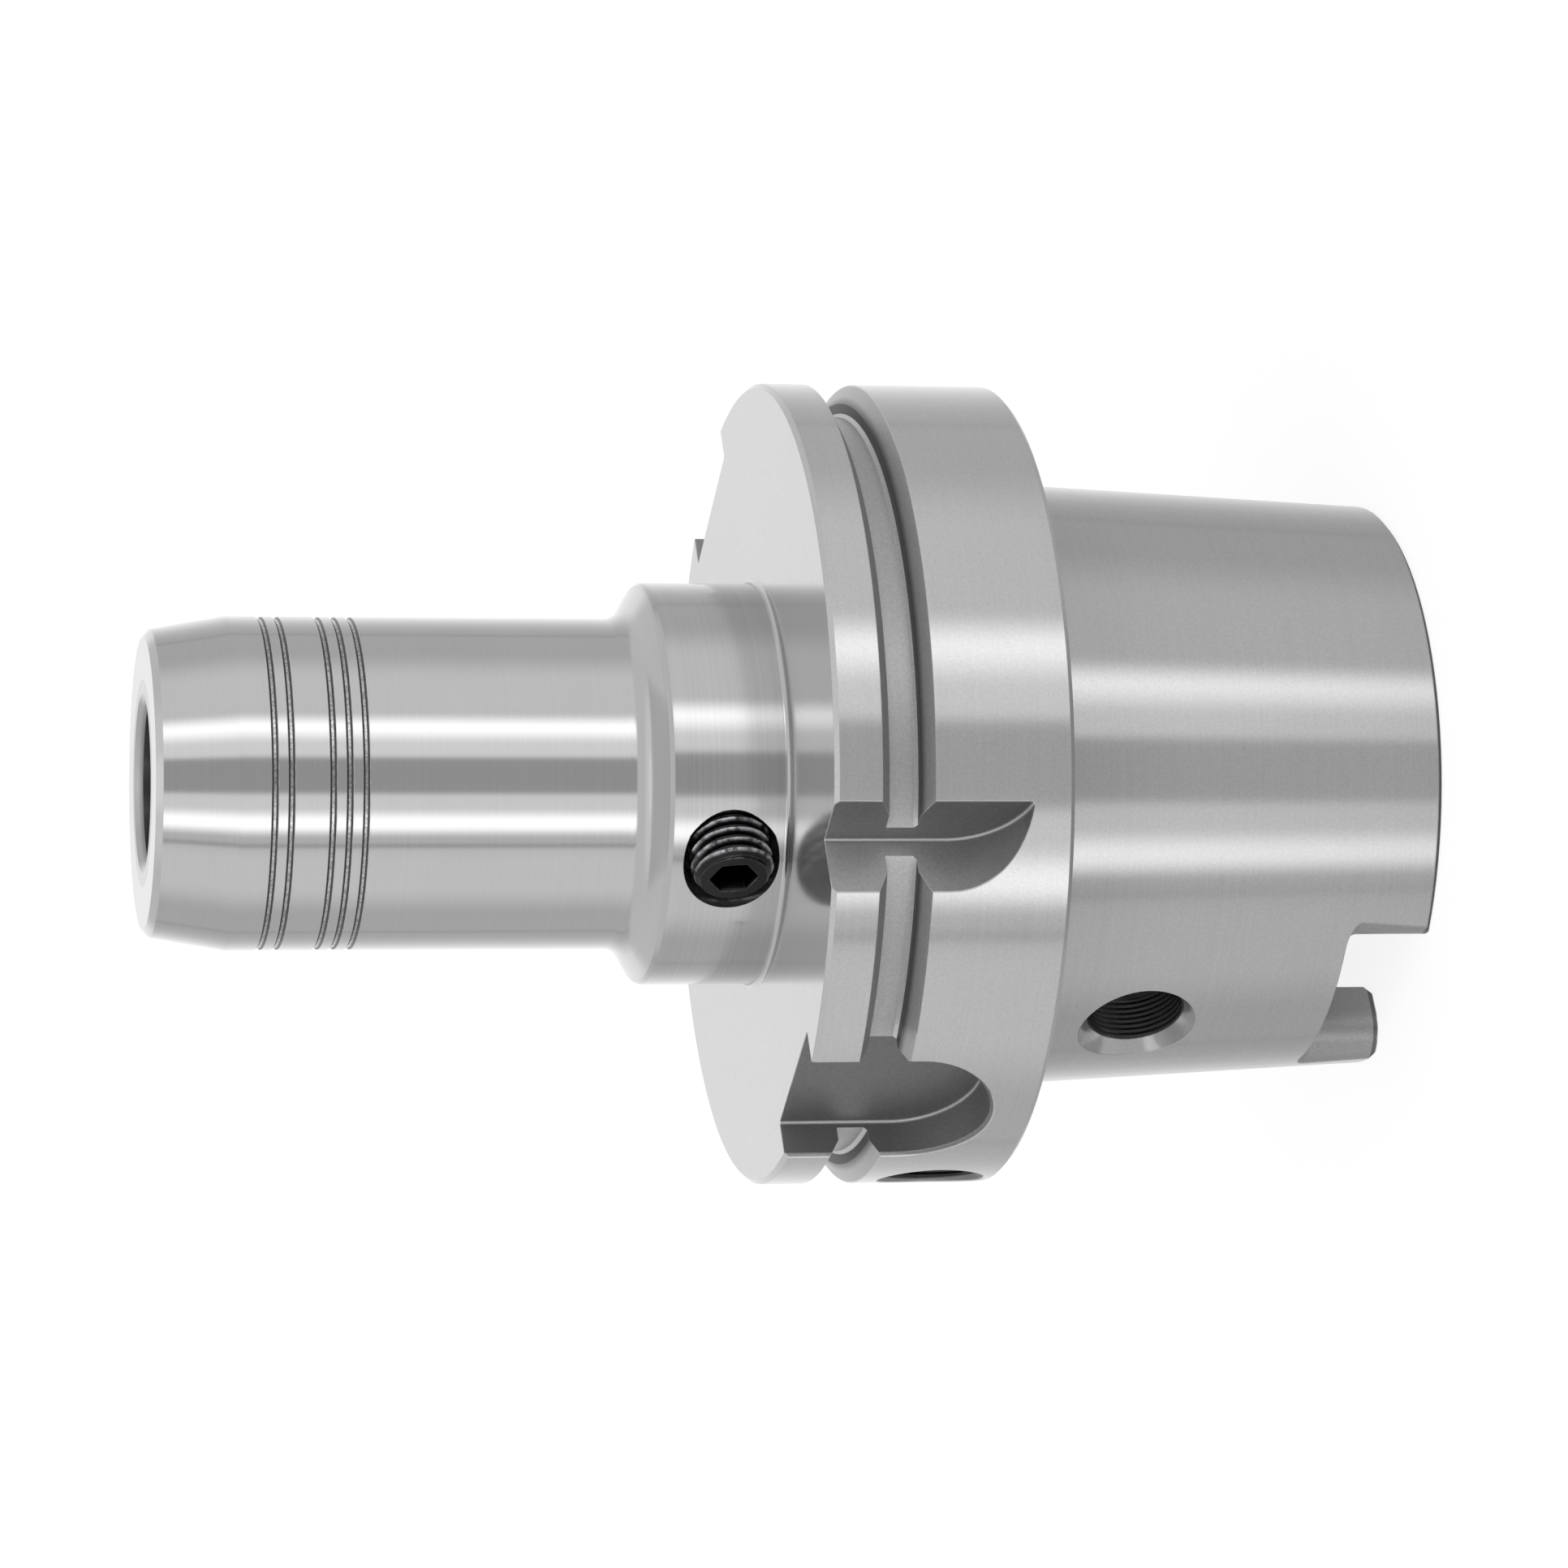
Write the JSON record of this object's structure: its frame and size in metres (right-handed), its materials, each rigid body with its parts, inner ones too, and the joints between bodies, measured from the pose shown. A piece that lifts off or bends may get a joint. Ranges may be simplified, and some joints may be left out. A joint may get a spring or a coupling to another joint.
{
  "type": "hydraulic expansion chuck",
  "caption": "Hydraulic tool chuck: hollow taper shank, grooved flange, collar with a clamping screw and a slim nose with an expanding bore.",
  "frame": {"origin": "centre of the flange face that meets the spindle, on the chuck's axis", "axes": "+Z along the axis towards the nose and the tool; -Y through the gripper slot on the side of the access hole; +X through the side nearest the clamping screw"},
  "size_m": [0.1, 0.1, 0.155],
  "materials": {
    "ground_steel": "hardened, ground and finely turned",
    "bush_steel": "hardened, ground and finely turned",
    "black_steel": "black oxide",
    "plain_steel": "turned",
    "seal_rubber": "matt"
  },
  "bodies": {
    "holder": {"holder_body": "ground_steel", "expansion_sleeve": "bush_steel", "filler_screw": "black_steel", "filler_ball": "plain_steel"},
    "piston": {"pressure_piston": "plain_steel", "piston_seal": "seal_rubber"},
    "clamp_screw": {"clamping_screw": "black_steel"},
    "adjuster_ring": {"adjusting_seal": "seal_rubber"},
    "adjuster": {"adjusting_screw": "black_steel"}
  },
  "joints": [
    {"name": "piston_slide", "type": "slide", "parent": "holder", "child": "piston", "axis": [0, 1, 0], "range_m": [0, 0.0045]},
    {"name": "screw_turn", "type": "hinge", "parent": "piston", "child": "clamp_screw", "pos_m": [0.013, -0.0158, 0.036], "axis": [0, 1, 0], "range_deg": [0, 1080]},
    {"name": "adjuster_slide", "type": "slide", "parent": "holder", "child": "adjuster_ring", "axis": [0, 0, 1], "range_m": [0, 0.01]},
    {"name": "adjuster_turn", "type": "hinge", "parent": "adjuster_ring", "child": "adjuster", "pos_m": [0, 0, 0.0427], "axis": [0, 0, 1], "range_deg": [0, 3600]}
  ],
  "couplings": [
    {"joint": "piston_slide", "follows": "screw_turn", "m_per_rad": 0.00023873},
    {"joint": "adjuster_slide", "follows": "adjuster_turn", "m_per_rad": 0.00015915}
  ]
}
